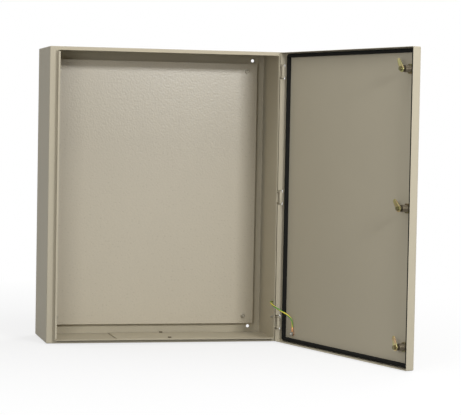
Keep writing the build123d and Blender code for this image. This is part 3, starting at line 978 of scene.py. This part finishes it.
def floor_finish(colour, bounce):
    """Plain pale floor that fades to white away from the cabinet and keeps its shadow."""
    floor = Finish("pale_floor")
    seen = floor.seen()
    floor.finish(base_color=floor.mix(seen, darker(colour, bounce), colour), roughness=FLOOR_DULLNESS)
    away = floor.node("VectorMath", {"operation": "LENGTH"}, {0: floor.place}, output="Value")
    fade = floor.ramp(away * (1 / FADE_REACH), *FADE_STOPS)
    plain = Signal(floor.tree, floor.shader.outputs[0])
    white = floor.node("Emission", inputs={"Color": WHITE})
    look = floor.node("MixShader", inputs={0: seen * fade, 1: plain, 2: white})
    plug(floor.tree, look, floor.tree.nodes["Material Output"].inputs["Surface"])
    return floor.material


def studio_world(strength):
    """Even light from all round, white where it is seen or mirrored."""
    world = bpy.data.worlds.new("studio_world")
    world.use_nodes = True
    board = NodeBoard(world.node_tree)
    background = board.tree.nodes["Background"]
    plug(board.tree, WHITE, background.inputs["Color"])
    plug(board.tree, board.seen() * (1 - strength) + strength, background.inputs["Strength"])
    return world


def soft_light(name, place, width, height, power):
    """A soft light of a width and height that points at the cabinet."""
    lamp = bpy.data.lights.new(name, "AREA")
    lamp.shape = "RECTANGLE"
    lamp.size = width
    lamp.size_y = height
    lamp.energy = power
    light = bpy.data.objects.new(name, lamp)
    light.location = place
    light.rotation_euler = (Vector(LIGHT_AIM) - Vector(place)).to_track_quat("-Z", "Y").to_euler()
    bpy.context.scene.collection.objects.link(light)


def photo_camera(stage):
    """Camera at the photograph's place, turned, tilted and rolled as it was held."""
    yaw, pitch, roll = stage.yaw, stage.pitch, stage.roll
    level = Vector((math.sin(yaw), math.cos(yaw), 0))
    right = Vector((math.cos(yaw), -math.sin(yaw), 0))
    up = Vector((0, 0, 1))
    ahead = level * math.cos(pitch) - up * math.sin(pitch)
    over = up * math.cos(pitch) + level * math.sin(pitch)
    rolled_right = right * math.cos(roll) + over * math.sin(roll)
    rolled_up = over * math.cos(roll) - right * math.sin(roll)
    lens = bpy.data.cameras.new("photo_camera")
    lens.sensor_fit = "HORIZONTAL"
    lens.sensor_width = stage.sensor
    lens.lens = stage.lens
    lens.clip_end = FAR_CLIP
    camera = bpy.data.objects.new("photo_camera", lens)
    turn = Matrix((rolled_right, rolled_up, -ahead)).transposed().to_4x4()
    camera.matrix_world = Matrix.Translation(stage.place) @ turn
    bpy.context.scene.collection.objects.link(camera)
    bpy.context.scene.camera = camera


class CABINET_OT_stage(bpy.types.Operator):
    """Sets the floor, the lights and the camera"""

    bl_idname = "cabinet.stage"
    bl_label = "Stage"

    def execute(self, context):
        stage = context.scene.cabinet_stage
        bm = bmesh.new()
        bmesh.ops.create_grid(bm, x_segments=1, y_segments=1, size=stage.floor_reach)
        bmesh.ops.translate(bm, verts=bm.verts, vec=(0, 0, CAD_BOUNDS[0][2] - stage.floor_gap))
        mesh = bpy.data.meshes.new("pale_floor")
        bm.to_mesh(mesh)
        bm.free()
        mesh.materials.append(floor_finish(tuple(stage.floor), stage.floor_bounce))
        floor = bpy.data.objects.new("pale_floor", mesh)
        context.scene.collection.objects.link(floor)
        for name, (place, width, height) in LIGHTS.items():
            soft_light(f"{name}_light", place, width, height, getattr(stage, f"{name}_power"))
        context.scene.world = studio_world(stage.sky)
        context.scene.view_settings.view_transform = "Standard"
        photo_camera(stage)
        return {"FINISHED"}


OPERATORS = (
    CABINET_OT_bonding_wire,
    CABINET_OT_sheet_metal,
    CABINET_OT_plate_hardware,
    CABINET_OT_earth_hardware,
    CABINET_OT_hinges,
    CABINET_OT_locks,
    CABINET_OT_stage,
)


class CABINET_PT_dresser(bpy.types.Panel):
    """Lists the steps that dress the cabinet"""

    bl_idname = "CABINET_PT_dresser"
    bl_label = "Wall cabinet"
    bl_space_type = "VIEW_3D"
    bl_region_type = "UI"
    bl_category = "Cabinet"

    def draw(self, context):
        for operator in OPERATORS:
            self.layout.operator(operator.bl_idname)


GROUPS = {
    "cabinet_finishes": CabinetFinishes,
    "cabinet_hardware": CabinetHardware,
    "cabinet_stage": CabinetStage,
}


def register():
    """Adds the values, the steps and the panel to Blender."""
    for group in GROUPS.values():
        bpy.utils.register_class(group)
    for operator in OPERATORS:
        bpy.utils.register_class(operator)
    bpy.utils.register_class(CABINET_PT_dresser)
    for name, group in GROUPS.items():
        setattr(bpy.types.Scene, name, PointerProperty(type=group))


def unregister():
    """Takes them out again."""
    for name in GROUPS:
        delattr(bpy.types.Scene, name)
    bpy.utils.unregister_class(CABINET_PT_dresser)
    for operator in reversed(OPERATORS):
        bpy.utils.unregister_class(operator)
    for group in reversed(GROUPS.values()):
        bpy.utils.unregister_class(group)


def main():
    """Runs every step in order."""
    register()
    for operator in OPERATORS:
        group, name = operator.bl_idname.split(".")
        getattr(getattr(bpy.ops, group), name)()


if __name__ == "__main__":
    main()
